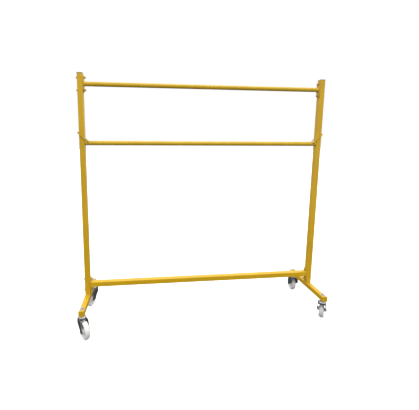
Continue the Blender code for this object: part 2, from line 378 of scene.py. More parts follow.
@dataclass(frozen=True)
class Nylon(Finish):
    """Cast white nylon, scuffed and greyed where it runs on the floor."""

    road: Color = (0.24, 0.23, 0.215)
    creamy: Color = (0.70, 0.70, 0.68)
    roughness: float = 0.38

    def dress(self, g: Surface) -> None:
        """Build the nylon; the tread attribute is 1 where the wheel meets the floor.

        Args:
            g: Graph of the material.
        """
        tread = g.attribute("tread")
        cloud = g.noise(34.0, 4.0)
        fine = g.noise(620.0, 6.0, 0.7)
        color = g.blend(g.ramp(cloud, 0.35, 0.70, 0.0, 0.6), self.color, self.creamy)
        soiled = g.mul(tread, g.ramp(fine, 0.34, 0.72, 0.04, 0.30))
        marks = g.mul(g.ramp(g.noise(150.0, 6.0, 0.7), 0.56, 0.68), 0.14)
        color = g.blend(g.math("MAXIMUM", soiled, marks), color, self.road)
        g.give(Base_Color=color)
        g.give(Roughness=g.plus(g.mul(tread, 0.25), g.ramp(cloud, 0.3, 0.7, self.roughness, 0.46), True))
        g.give(Subsurface_Weight=0.12, Subsurface_Radius=(0.004, 0.0035, 0.003), Subsurface_Scale=0.6)
        height = g.mul(fine, g.ramp(tread, 0.0, 1.0, 0.15, 0.9))
        g.bump(height, 0.25, 0.0005)


@dataclass(frozen=True)
class MouldedPlastic(Finish):
    """Black polyethylene with a fine spark grain and dust."""

    dusty: Color = (0.10, 0.095, 0.085)
    roughness: float = 0.42

    def dress(self, g: Surface) -> None:
        """Build the plastic.

        Args:
            g: Graph of the material.
        """
        grain = g.noise(1500.0, 2.0)
        dust = g.ramp(g.noise(70.0, 5.0), 0.46, 0.76, 0.0, 0.22)
        g.give(Base_Color=g.blend(dust, self.color, self.dusty))
        g.give(Roughness=g.plus(g.mul(dust, 0.3), self.roughness))
        g.bump(grain, 0.3, 0.0003)


@dataclass(frozen=True)
class PaleFloor(Finish):
    """Matt pale floor with a barely visible mottle."""

    mottle: Color = (0.76, 0.76, 0.75)

    def dress(self, g: Surface) -> None:
        """Build the floor.

        Args:
            g: Graph of the material.
        """
        tone = g.ramp(g.noise(1.2, 2.0), 0.3, 0.7, 0.0, 0.3)
        g.give(Base_Color=g.blend(tone, self.color, self.mottle))
        g.give(Roughness=0.9, Specular_IOR_Level=0.1)
        g.give(Emission_Color=(1.0, 1.0, 1.0, 1.0), Emission_Strength=0.55)


YELLOW = (0.645, 0.388, 0.007)
TUBE_ENAMEL = Enamel("tube_enamel", YELLOW)
BAR_ENAMEL = Enamel("bar_enamel", (0.64, 0.410, 0.016), roughness=0.28, coat=0.2)
BRACKET_ENAMEL = Enamel("bracket_enamel", (0.575, 0.345, 0.008))
NUT_ENAMEL = Enamel("nut_enamel", (0.60, 0.37, 0.016), primer=(0.34, 0.33, 0.31), wear=1.2, roughness=0.38)
WELD_ENAMEL = Enamel("weld_enamel", (0.58, 0.33, 0.007), roughness=0.42, peel=260.0, wear=0.4)
BRIGHT_ZINC = Plated("bright_zinc", (0.60, 0.61, 0.62))
SWIVEL_ZINC = Plated("swivel_zinc", (0.52, 0.55, 0.60), tint=(0.42, 0.48, 0.62), roughness=0.26)
FORK_ZINC = Plated("fork_zinc", (0.155, 0.16, 0.155), tint=(0.115, 0.125, 0.12), grime=(0.05, 0.047, 0.042),
                   roughness=0.40, soil=0.5, metal=0.85)
WHITE_NYLON = Nylon("white_nylon", (0.80, 0.80, 0.79))
BLACK_PLASTIC = MouldedPlastic("black_plastic", (0.012, 0.012, 0.012))
FLOOR_FINISH = PaleFloor("pale_floor", (0.80, 0.80, 0.80))


# ---- Meshes


def circle(radius: float, height: float, count: int) -> Ring:
    """Points of a circle about the Z axis."""
    angles = (k * (2 * math.pi / count) for k in range(count))
    return [Vector((radius * math.cos(a), radius * math.sin(a), height)) for a in angles]


def hexagon(corner: float, height: float, count: int) -> Ring:
    """Points of a hexagon about the Z axis, evenly spread by angle.

    Args:
        corner: Distance from the centre to a corner.
        height: Z of every point.
        count: Number of points, a multiple of six.

    Returns:
        The ring, with a point on each corner.
    """
    ring = []
    for k in range(count):
        angle = 2 * math.pi * k / count
        folded = (angle % (math.pi / 3)) - math.pi / 6
        reach = corner * math.cos(math.pi / 6) / math.cos(folded)
        ring.append(Vector((reach * math.cos(angle), reach * math.sin(angle), height)))
    return ring


def rounded_square(side: float, radius: float, height: float, steps: int = 8) -> tuple[Ring, list[float]]:
    """Points of a square with round corners, and how much each one is exposed to wear.

    Args:
        side: Width over the flats.
        radius: Radius of the corners.
        height: Z of every point.
        steps: Segments in each corner.

    Returns:
        The ring and one wear value for each of its points.
    """
    ring, wear = [], []
    half = side / 2 - radius
    for quarter in range(4):
        turn = math.pi / 2 * quarter
        spin = Matrix.Rotation(turn, 3, "Z")
        for k in range(steps + 1):
            t = math.pi / 2 * k / steps
            ring.append(spin @ Vector((half + radius * math.cos(t), half + radius * math.sin(t), height)))
            wear.append(0.45 + 0.55 * math.sin(2 * t))
        for share in (0.08, 0.5, 0.92):
            ring.append(spin @ Vector((half * (1 - 2 * share), side / 2, height)))
            wear.append(0.0)
    return ring, wear


def skin(name: str, rings: Sequence[Ring], closed: bool = False, caps: bool = True) -> Mesh:
    """Loft rings of equal length into a mesh with outward faces.

    Args:
        name: Name of the mesh.
        rings: Rings in order.
        closed: Whether the last ring joins the first.
        caps: Whether an open skin is closed by a face at each end.

    Returns:
        The mesh.
    """
    count = len(rings[0])
    faces = []
    for i in range(len(rings) - (0 if closed else 1)):
        a, b = i * count, (i + 1) % len(rings) * count
        faces += [(a + k, a + (k + 1) % count, b + (k + 1) % count, b + k) for k in range(count)]
    if caps and not closed:
        faces.append(tuple(reversed(range(count))))
        faces.append(tuple((len(rings) - 1) * count + k for k in range(count)))
    mesh = bpy.data.meshes.new(name)
    mesh.from_pydata([tuple(p) for ring in rings for p in ring], [], faces)
    face_outwards(mesh)
    return mesh


def face_outwards(mesh: Mesh, merge: float = 1e-7) -> None:
    """Merge doubled points and turn every face outwards.

    Args:
        mesh: Mesh to mend.
        merge: Points closer than this become one.
    """
    bm = bmesh.new()
    bm.from_mesh(mesh)
    bmesh.ops.remove_doubles(bm, verts=bm.verts, dist=merge)
    bmesh.ops.recalc_face_normals(bm, faces=bm.faces)
    bm.to_mesh(mesh)
    bm.free()


def store(mesh: Mesh, name: str, values: Iterable[float]) -> None:
    """Store one float for each point of a mesh.

    Args:
        mesh: Mesh to mark.
        name: Name of the attribute.
        values: The numbers, in the order of the points.
    """
    layer = mesh.attributes.get(name) or mesh.attributes.new(name, "FLOAT", "POINT")
    for item, value in zip(layer.data, values):
        item.value = value


def paint(mesh: Mesh, name: str, value: Callable[[Vector], float]) -> None:
    """Store a float that follows from each point's place."""
    store(mesh, name, (value(point.co) for point in mesh.vertices))


def wear_by_sharpness(mesh: Mesh) -> None:
    """Store the wear attribute from how sharply the surface turns at each point.

    Args:
        mesh: Mesh to mark.
    """
    bm = bmesh.new()
    bm.from_mesh(mesh)
    turns = [max((e.calc_face_angle_signed(0.0) for e in point.link_edges), default=0.0) for point in bm.verts]
    bm.free()
    store(mesh, "wear", (min(1.0, turn * WEAR_PER_RADIAN) for turn in turns))


def moved(mesh: Mesh, place: Matrix) -> Mesh:
    """Apply a placement to a mesh itself.

    Args:
        mesh: Mesh to move.
        place: Where it goes.

    Returns:
        The same mesh.
    """
    mesh.transform(place)
    if place.to_3x3().determinant() < 0:
        mesh.flip_normals()
    return mesh


def joined(name: str, parts: Iterable[Mesh]) -> Mesh:
    """Join several meshes into one, keeping their attributes.

    Args:
        name: Name of the result.
        parts: Meshes to join; they are used up.

    Returns:
        The joined mesh.
    """
    bm = bmesh.new()
    for part in parts:
        bm.from_mesh(part)
        bpy.data.meshes.remove(part)
    mesh = bpy.data.meshes.new(name)
    bm.to_mesh(mesh)
    bm.free()
    return mesh


def turned(name: str, profile: Profile, count: int = 96, closed: bool = False) -> Mesh:
    """Turn a profile of (radius, height) about the Z axis."""
    return skin(name, [circle(r, z, count) for r, z in profile], closed=closed)


def fillet(points: Profile, radius: float, steps: int = 4) -> Profile:
    """Round the inner corners of an open profile.

    Args:
        points: Corners of the profile in order.
        radius: Largest radius; short sides get less.
        steps: Segments in each round.

    Returns:
        The profile with its corners rounded.
    """
    out = [points[0]]
    for before, here, after in zip(points, points[1:], points[2:]):
        a, b, c = (Vector((*p, 0.0)) for p in (before, here, after))
        reach = min(radius, (a - b).length * 0.45, (c - b).length * 0.45)
        start, stop = b + (a - b).normalized() * reach, b + (c - b).normalized() * reach
        for k in range(steps + 1):
            t = k / steps
            p = start * (1 - t) ** 2 + b * (2 * t * (1 - t)) + stop * t ** 2
            out.append((p.x, p.y))
    return out + [points[-1]]


def live_mesh(obj: Object, name: str) -> Mesh:
    """Turn an object's modifiers into a plain mesh.

    Args:
        obj: Object to take; it is removed.
        name: Name of the mesh.

    Returns:
        The plain mesh.
    """
    graph = bpy.context.evaluated_depsgraph_get()
    mesh = bpy.data.meshes.new_from_object(obj.evaluated_get(graph))
    mesh.name = name
    bpy.data.objects.remove(obj, do_unlink=True)
    return mesh


def linked(name: str, data: ID) -> Object:
    """Link an object to the scene.

    Args:
        name: Name of the object.
        data: Its mesh, light or camera.

    Returns:
        The object.
    """
    obj = bpy.data.objects.new(name, data)
    bpy.context.scene.collection.objects.link(obj)
    return obj


def piece(
    name: str, mesh: Mesh, finish: Finish, body: str,
    nodes: Sequence[str] = (), sharp: float = 38.0,
) -> Object:
    """Finish one visible piece and hand it to the frame.

    Args:
        name: Name of the piece.
        mesh: Its mesh, already in place.
        finish: Its finish.
        body: Body it rides on.
        nodes: CAD nodes it stands for.
        sharp: Edges that turn more than this many degrees stay sharp.

    Returns:
        The object.
    """
    mesh.name = name
    mesh.materials.clear()
    mesh.materials.append(finish.material())
    for poly in mesh.polygons:
        poly.use_smooth = True
        poly.material_index = 0
    mesh.set_sharp_from_angle(angle=math.radians(sharp))
    obj = linked(name, mesh)
    if nodes:
        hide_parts(*nodes)
    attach(obj, body)
    LOG.info("%s: %d faces on %s", name, len(mesh.polygons), body)
    return obj


def joint(name: str) -> dict:
    """Look a joint of the frame up by name."""
    return next(j for j in frame["joints"] if j["name"] == name)


def extent(node: str) -> tuple[Vector, Vector]:
    """Lowest and highest corner of a CAD node."""
    low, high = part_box(node)
    return Vector(low), Vector(high)


def centre(node: str) -> Vector:
    """Middle of a CAD node's box."""
    low, high = extent(node)
    return (low + high) / 2


def put(mesh: Mesh, node: str, turn: Matrix) -> Mesh:
    """Turn a mesh made about the origin and move it to the middle of a CAD node."""
    return moved(mesh, Matrix.Translation(centre(node)) @ turn)


# ---- Geometry nodes


class Repeater:
    """A geometry node tree that sets copies of a part on points or along paths."""

    def __init__(self, name: str, sizes: Sequence[tuple[str, str, object]]) -> None:
        """Start the tree with its named inputs.

        Args:
            name: Name of the tree.
            sizes: Each input's name, socket type and default.
        """
        self.tree = bpy.data.node_groups.new(name, "GeometryNodeTree")
        face = self.tree.interface
        face.new_socket("Geometry", in_out="INPUT", socket_type="NodeSocketGeometry")
        face.new_socket("Geometry", in_out="OUTPUT", socket_type="NodeSocketGeometry")
        for label, kind, value in sizes:
            socket = face.new_socket(label, in_out="INPUT", socket_type=kind)
            if value is not None:
                socket.default_value = value
        self.graph = Graph(self.tree)
        self.source = self.graph.add("NodeGroupInput")
        self.sink = self.graph.add("NodeGroupOutput")

    def size(self, label: str) -> NodeSocket:
        """Socket of a named input inside the tree."""
        return self.source.outputs[label]

    def close(self, instances: NodeSocket, finish: Finish) -> None:
        """End the tree in Realize Instances and Set Material.

        Args:
            instances: What the tree has set.
            finish: Finish it gets.
        """
        real = self.graph.add("GeometryNodeRealizeInstances", None, Geometry=instances)
        coat = self.graph.add("GeometryNodeSetMaterial", None, Geometry=real.outputs[0])
        coat.inputs["Material"].default_value = finish.material()
        self.graph.feed(self.sink.inputs[0], coat.outputs[0])

    def run(self, name: str, mesh: Mesh, values: dict[str, object]) -> Mesh:
        """Grow the tree on a mesh and return the result as a plain mesh.

        Args:
            name: Name of the result.
            mesh: Points or paths it grows on.
            values: Named inputs to set.

        Returns:
            The grown mesh.
        """
        obj = linked(name + "_work", mesh)
        modifier = obj.modifiers.new("grow", "NODES")
        modifier.node_group = self.tree
        labels = {s.name: s.identifier for s in self.tree.interface.items_tree if s.in_out == "INPUT"}
        for label, value in values.items():
            modifier[labels[label]] = value
        return live_mesh(obj, name)


class FastenerSetter(Repeater):
    """Sets a template fastener on points, turned to each point's own direction."""

    def __init__(self, name: str, finish: Finish) -> None:
        """Build the tree for one finish.

        Args:
            name: Name of the tree.
            finish: Finish of the fasteners.
        """
        super().__init__(name, [
            ("Fastener", "NodeSocketObject", None), ("Spin", "NodeSocketFloat", 1.0), ("Seed", "NodeSocketInt", 7),
        ])
        g = self.graph
        part = g.add("GeometryNodeObjectInfo", None, Object=self.size("Fastener"))
        facing = g.add("GeometryNodeInputNamedAttribute", {"data_type": "FLOAT_VECTOR"}, Name="facing")
        aim = g.add("FunctionNodeAlignRotationToVector", {"axis": "Z"}, Vector=facing.outputs[0])
        chance = g.add("FunctionNodeRandomValue", {"data_type": "FLOAT"})
        g.feed(chance.inputs["Seed"], self.size("Seed"))
        g.feed(chance.inputs[3], g.math("MULTIPLY", self.size("Spin"), math.pi))
        about = g.add("FunctionNodeAxisAngleToRotation", None, Angle=chance.outputs[1])
        about.inputs["Axis"].default_value = (0.0, 0.0, 1.0)
        turn = g.add("FunctionNodeRotateRotation", {"rotation_space": "LOCAL"}, Rotation=aim.outputs[0])
        g.feed(turn.inputs["Rotate By"], about.outputs[0])
        points = g.add("GeometryNodeMeshToPoints", None, Mesh=self.source.outputs["Geometry"])
        spread = g.add("GeometryNodeInstanceOnPoints", None, Points=points.outputs[0])
        g.feed(spread.inputs["Instance"], part.outputs["Geometry"])
        g.feed(spread.inputs["Rotation"], turn.outputs[0])
        self.close(spread.outputs[0], finish)

    def set(self, name: str, template: Mesh, spots: Sequence[tuple[Vector, Vector]], seed: int) -> Mesh:
        """Place the template at each spot.

        Args:
            name: Name of the result.
            template: The fastener along +Z, its seat at the origin.
            spots: Seat and direction of each copy.
            seed: Seed of the turn about its own axis.

        Returns:
            All copies as one mesh.
        """
        spread = bpy.data.meshes.new(name + "_points")
        spread.from_pydata([tuple(p) for p, _ in spots], [], [])
        layer = spread.attributes.new("facing", "FLOAT_VECTOR", "POINT")
        for item, (_, direction) in zip(layer.data, spots):
            item.vector = direction
        holder = linked(name + "_template", template)
        mesh = self.run(name, spread, {"Fastener": holder, "Seed": seed})
        bpy.data.objects.remove(holder, do_unlink=True)
        return mesh


class WeldRunner(Repeater):
    """Lays a bead of overlapping ripples along closed or open paths."""

    def __init__(self, finish: Finish) -> None:
        """Build the tree.

        Args:
            finish: Finish of the bead.
        """
        super().__init__("weld_runner", [
            ("Bead radius", "NodeSocketFloat", 0.0022), ("Ripple pitch", "NodeSocketFloat", 0.0017),
            ("Unevenness", "NodeSocketFloat", 0.18), ("Seed", "NodeSocketInt", 3),
        ])
        g = self.graph
        path = g.add("GeometryNodeMeshToCurve", None, Mesh=self.source.outputs["Geometry"])
        points = g.add("GeometryNodeCurveToPoints", {"mode": "LENGTH"}, Curve=path.outputs[0])
        g.feed(points.inputs["Length"], self.size("Ripple pitch"))
        ripple = g.add("GeometryNodeMeshIcoSphere", None, Subdivisions=2)
        g.feed(ripple.inputs["Radius"], self.size("Bead radius"))
        squashed = g.add("GeometryNodeTransform", None, Geometry=ripple.outputs[0], Scale=(1.0, 1.0, 0.62))
        tilt = g.add("FunctionNodeAxisAngleToRotation", None, Angle=0.5)
        tilt.inputs["Axis"].default_value = (0.0, 1.0, 0.0)
        turn = g.add("FunctionNodeRotateRotation", {"rotation_space": "LOCAL"}, Rotation=points.outputs["Rotation"])
        g.feed(turn.inputs["Rotate By"], tilt.outputs[0])
        chance = g.add("FunctionNodeRandomValue", {"data_type": "FLOAT"})
        g.feed(chance.inputs["Seed"], self.size("Seed"))
        g.feed(chance.inputs[2], g.math("SUBTRACT", 1.0, self.size("Unevenness")))
        g.feed(chance.inputs[3], g.math("ADD", 1.0, self.size("Unevenness")))
        spread = g.add("GeometryNodeInstanceOnPoints", None, Points=points.outputs["Points"])
        g.feed(spread.inputs["Instance"], squashed.outputs[0])
        g.feed(spread.inputs["Rotation"], turn.outputs[0])
        g.feed(spread.inputs["Scale"], chance.outputs[1])
        self.close(spread.outputs[0], finish)

    def lay(self, name: str, paths: Sequence[tuple[Ring, bool]], radius: float, seed: int) -> Mesh:
        """Weld along the paths.

        Args:
            name: Name of the result.
            paths: Each path's points, and whether it closes on itself.
            radius: Radius of the bead.
            seed: Seed of its unevenness.

        Returns:
            The bead as one mesh.
        """
        points, edges = [], []
        for ring, loop in paths:
            first = len(points)
            points += [tuple(p) for p in ring]
            edges += [(first + k, first + k + 1) for k in range(len(ring) - 1)]
            if loop:
                edges.append((first + len(ring) - 1, first))
        mesh = bpy.data.meshes.new(name + "_paths")
        mesh.from_pydata(points, edges, [])
        bead = self.run(name, mesh, {"Bead radius": radius, "Ripple pitch": radius * 0.75, "Seed": seed})
        wear_by_sharpness(bead)
        return bead


# ---- Fasteners


@dataclass
class HexFasteners:
    """Templates of the rack's hex bolts, nuts and threads, each along +Z."""

    count: int = 36
    pitch: float = 0.0015
    thread_depth: float = 0.0007
    chamfer: float = 0.0010
    edge: float = 0.0003

    def thread(self, radius: float, start: float, stop: float) -> Mesh:
        """Threaded rod end.

        Args:
            radius: Outside radius.
            start: Height where it begins.
            stop: Height of its chamfered end.

        Returns:
            The rod as a closed mesh.
        """
        steps = max(4, int((stop - start) / self.pitch * 6))
        rings = []
        for z in (start + (stop - start) * i / steps for i in range(steps + 1)):
            taper = max(0.0, (z - stop + self.chamfer) / self.chamfer) * 0.0008
            ring = []
            for k in range(self.count):
                phase = (z / self.pitch - k / self.count) % 1.0
                reach = radius - max(self.thread_depth * (abs(phase - 0.5) * 2), taper)
                angle = 2 * math.pi * k / self.count
                ring.append(Vector((reach * math.cos(angle), reach * math.sin(angle), z)))
            rings.append(ring)
        rings.append(circle(radius - 0.0016, stop + 0.0001, self.count))
        mesh = skin("thread", rings)
        wear_by_sharpness(mesh)
        return mesh

    def head(self, corner: float, washer: float, washer_thickness: float, height: float, dish: float) -> Mesh:
        """Washer-faced hexagon with chamfered corners.

        Args:
            corner: Centre to corner.
            washer: Radius of the washer face.
            washer_thickness: Its thickness.
            height: Whole height.
            dish: Radius of the round flat on top.

        Returns:
            The head as a closed mesh.
        """
        n, w, e = self.count, washer_thickness, self.edge
        drop = (corner - dish) * 0.50
        crown = [
            Vector((p.x, p.y, height - 0.0002 - drop * max(0.0, p.length - dish) / (corner - dish) * 0.6))
            for p in hexagon(corner, 0.0, n)
        ]
        rings = [
            circle(washer - e, 0.0, n), circle(washer, e, n), circle(washer, w - e, n), circle(washer - e, w, n),
            hexagon(corner, w + 0.0001, n), hexagon(corner, w + 0.0006, n), crown,
            circle(dish * 0.97, height - 0.0001, n), circle(dish * 0.90, height, n),
        ]
        mesh = skin("hex_head", rings)
        wear_by_sharpness(mesh)
        return mesh


# ---- Main members


@dataclass
class SquareTube:
    """One length of square tube, rebuilt with fine corners and eased cut ends."""

    node: str
    axis: Axis
    finish: Finish = TUBE_ENAMEL
    corner: float = 0.004
    wall: float = 0.002
    ease: float = 0.0004
    worn_end: float = 0.03

    def build(self) -> Mesh:
        """Make the tube in its CAD node's box.

        Returns:
            The tube as a closed mesh with a wear attribute.
        """
        low, high = extent(self.node)
        spans = high - low
        half, e = spans[self.axis.value] / 2, self.ease
        side = min(spans)
        inner = side - 2 * self.wall
        levels = [
            (side - 2 * e, -half), (side, -half + e), (side, -half + self.worn_end), (side, 0.0),
            (side, half - self.worn_end), (side, half - e), (side - 2 * e, half), (inner + 2 * e, half),
            (inner, half - e), (inner, -half + e), (inner + 2 * e, -half),
        ]
        rings, wear = [], []
        for width, z in levels:
            radius = self.corner if width > inner + 3 * e else self.corner - self.wall
            ring, marks = rounded_square(width, radius, z)
            rings.append(ring)
            end = 0.55 if abs(abs(z) - half) < 2 * e else 0.0
            wear += [min(1.0, m * 0.82 + end) for m in marks]
        mesh = skin(self.node, rings, closed=True)
        store(mesh, "wear", wear)
        return put(mesh, self.node, {Axis.X: ONTO_X, Axis.Y: ONTO_BACK, Axis.Z: Matrix.Identity(4)}[self.axis])

    def dress(self) -> Object:
        """Make the piece."""
        return piece(f"{self.node}_tube", self.build(), self.finish, "rack_frame", [self.node])


@dataclass
class RoundBar:
    """One length of round tube along X."""

    node: str
    body: str
    wall: float = 0.002
    ease: float = 0.0005
    count: int = 96

    def dress(self) -> Object:
        """Make the piece in its CAD node's box.

        Returns:
            The object.
        """
        low, high = extent(self.node)
        half, radius = (high.x - low.x) / 2, (high.z - low.z) / 2
        inner, e = radius - self.wall, self.ease
        stations = [-half + e + (2 * half - 2 * e) * k / 24 for k in range(25)]
        profile = [(radius - e, -half)] + [(radius, x) for x in stations]
        profile += [(radius - e, half), (inner + e, half), (inner, half - e), (inner, -half + e), (inner + e, -half)]
        mesh = turned(self.node, profile, self.count, closed=True)
        paint(mesh, "wear", lambda p: 0.9 if abs(p.z) > half - 0.001 else 0.12)
        return piece(f"{self.node}_tube", put(mesh, self.node, ONTO_X), BAR_ENAMEL, self.body, [self.node])


@dataclass
class Frame:
    """Posts, caps, feet, rail, top bar, their flanges, welds and fasteners."""

    body: str = "rack_frame"
    bolt_radius: float = 0.005
    bolt_head: float = 0.0095
    bolt_grip: float = 0.0480
    nut_height: float = 0.0092
    hex_corner: float = 0.0092
    hex_dish: float = 0.0076
    washer: float = 0.0115
    washer_steel: float = 0.0020
    flange_ear: float = 0.015
    ease: float = 0.0006
    heavy_bead: float = 0.0024
    fine_bead: float = 0.0011
    fasteners: HexFasteners = field(default_factory=HexFasteners)

    def build(self) -> None:
        """Make every piece of the frame."""
        for side in Side:
            SquareTube(f"{side.word}_post", Axis.Z).dress()
            SquareTube(f"{side.word}_foot", Axis.Y).dress()
            self.cap(side)
            for end in ENDS:
                self.end_plate(side, end)
            for member in MEMBERS:
                self.flange(member, side)
        SquareTube("bottom_rail", Axis.X).dress()
        RoundBar("top_bar", self.body).dress()
        self.bolts()
        self.nuts()
        self.welds()

    def cap(self, side: Side) -> None:
        """Black plug in the top of a post, with a soft edge and a shallow dished top.

        Args:
            side: Post it closes.
        """
        node = f"{side.word}_post_cap"
        low, high = extent(node)
        width, middle, top = high.x - low.x, (low + high) / 2, high.z
        lip = top - 0.0037
        levels = [
            (0.0348, 0.0012, low.z), (0.0354, 0.0015, low.z + 0.002), (0.0354, 0.0015, lip),
            (width - 0.001, 0.004, lip), (width, 0.0045, lip + 0.0005), (width, 0.0045, top - 0.0016),
            (width - 0.0006, 0.0043, top - 0.0008),
            (width - 0.0018, 0.004, top - 0.0002), (width - 0.0034, 0.0036, top), (width - 0.010, 0.003, top),
            (width - 0.0115, 0.003, top - 0.0004), (width - 0.022, 0.002, top - 0.0005),
        ]
        rings = [rounded_square(w, r, z)[0] for w, r, z in levels]
        mesh = moved(skin(node, rings), Matrix.Translation((middle.x, middle.y, 0.0)))
        piece(f"{node}_plug", mesh, BLACK_PLASTIC, self.body, [node])

    def end_plate(self, side: Side, end: str) -> None:
        """Welded plate that closes one end of a foot.

        Args:
            side: Foot it closes.
            end: "front" or "rear".
        """
        node = f"{side.word}_foot_{end}_plate"
        low, high = extent(node)
        width, t = high.x - low.x, (high.y - low.y) / 2
        levels = [(width - 0.004, -t), (width - 0.0008, -t), (width, 0.0004 - t), (width, t - 0.0004),
                  (width - 0.0008, t), (width - 0.004, t)]
        mesh = skin(node, [rounded_square(w, 0.002, z, 4)[0] for w, z in levels])
        wear_by_sharpness(mesh)
        piece(f"{node}_steel", put(mesh, node, ONTO_BACK), TUBE_ENAMEL, self.body, [node])

    def flange(self, member: str, side: Side) -> None:
        """Two-bolt flange between a member's end and the post.

        Args:
            member: "bottom_rail" or "top_bar".
            side: End of the member.
        """
        node = f"{member}_{side.word}_flange"
        low, high = extent(node)
        t, half = (high.x - low.x) / 2, (high.y - low.y) / 2
        reach = (high.z - low.z) / 2
        ear = reach - self.flange_ear
        outline = []
        for sign in (1, -1):
            start = 20 if sign > 0 else 200
            for k in range(29):
                a = math.radians(start + 140 * k / 28)
                outline.append((self.flange_ear * math.cos(a), sign * ear + self.flange_ear * math.sin(a)))
            waist = [(-sign * half, sign * y) for y in (0.030, 0.019, -0.019, -0.030)]
            outline += fillet(waist, 0.004)[3:-3]

        def level(z: float, shrink: float) -> Ring:
            """The outline drawn in by shrink, at one height."""
            wide, tall = 1 - shrink / half, 1 - shrink / (ear + self.flange_ear)
            return [Vector((x * wide, y * tall, z)) for x, y in outline]

        e, rim = self.ease, 0.0022
        levels = [(-t, rim), (-t, e), (e - t, 0.0), (t - e, 0.0), (t, e), (t, rim)]
        mesh = skin(node, [level(z, shrink) for z, shrink in levels])
        wear_by_sharpness(mesh)
        upright = Matrix.Rotation(math.pi / 2, 4, "Z") @ ONTO_BACK
        piece(f"{node}_plate", put(mesh, node, upright), BRACKET_ENAMEL, self.body, [node])

    def spots(self, part: str, inward: bool) -> tuple[list[str], list[tuple[Vector, Vector]]]:
        """Seats of the flange bolts or nuts.

        Args:
            part: "bolt" or "nut".
            inward: Whether the part stands on the inner side of the post.

        Returns:
            The nodes, and each one's seat and direction.
        """
        names, spots = [], []
        for member, side, level in product(MEMBERS, Side, ("upper", "lower")):
            node = f"{member}_{side.word}_{level}_{part}"
            low, high = extent(node)
            middle = (low + high) / 2
            way = Vector((-side.value if inward else side.value, 0.0, 0.0))
            if part == "nut":
                seat = high.x if way.x < 0 else low.x
            else:
                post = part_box(f"{side.word}_post")
                seat = post[1][0] if way.x > 0 else post[0][0]
            names.append(node)
            spots.append((Vector((seat, middle.y, middle.z)), way))
        return names, spots

    def bolts(self) -> None:
        """Bright bolts: hex heads outside the posts, threaded ends past the nuts inside."""
        names, outside = self.spots("bolt", inward=False)
        low, high = extent(names[0])
        reach = (high.x - low.x) - self.bolt_head
        core = self.bolt_radius - 0.0004
        template = joined("flange_bolt", [
            self.fasteners.head(self.hex_corner, self.washer, self.washer_steel, self.bolt_head, self.hex_dish),
            moved(self.fasteners.thread(self.bolt_radius, self.bolt_grip, reach), END_FOR_END),
            turned("shank", [(core, -self.bolt_grip - 0.0005), (core, -0.0002)], 24),
        ])
        mesh = FastenerSetter("flange_bolt_setter", BRIGHT_ZINC).set("flange_bolts", template, outside, 11)
        piece("flange_bolts", mesh, BRIGHT_ZINC, self.body, names)

    def nuts(self) -> None:
        """Painted nuts on the inner side of the flanges."""
        names, inside = self.spots("nut", inward=True)
        template = self.fasteners.head(self.hex_corner, self.washer, self.washer_steel, self.nut_height, self.hex_dish)
        mesh = FastenerSetter("flange_nut_setter", NUT_ENAMEL).set("flange_nuts", template, inside, 23)
        piece("flange_nuts", mesh, NUT_ENAMEL, self.body, names)

    def welds(self) -> None:
        """Beads round the members' ends, the posts' feet and the feet's end plates."""
        runner = WeldRunner(WELD_ENAMEL)
        rings = {"bottom_rail": rounded_square(0.0408, 0.0045, 0.0)[0], "top_bar": circle(0.0164, 0.0, 48)}
        heavy: list[tuple[Ring, bool]] = []
        fine: list[tuple[Ring, bool]] = []
        for side in Side:
            edge = 1 if side is Side.RIGHT else 0
            for member in MEMBERS:
                spot = Matrix.Translation((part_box(member)[edge][0], 0.0, centre(member).z))
                heavy.append(([spot @ ONTO_X @ p for p in rings[member]], True))
            low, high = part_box(f"{side.word}_post")
            x, z = (low[0] + high[0]) / 2, low[2] + 0.0004
            for y in (-0.0205, 0.0205):
                heavy.append(([Vector((x - 0.0165, y, z)), Vector((x + 0.0165, y, z))], False))
            for end in ENDS:
                low, high = extent(f"{side.word}_foot_{end}_plate")
                y = high.y if end == "front" else low.y
                spot = Matrix.Translation(((low.x + high.x) / 2, y, (low.z + high.z) / 2)) @ ONTO_BACK
                fine.append(([spot @ p for p in rounded_square(0.0402, 0.004, 0.0)[0]], True))
        for name, seams, radius, seed in (("frame", heavy, self.heavy_bead, 5), ("foot", fine, self.fine_bead, 9)):
            bead = runner.lay(f"{name}_weld", seams, radius, seed)
            piece(f"{name}_weld_beads", bead, WELD_ENAMEL, self.body)


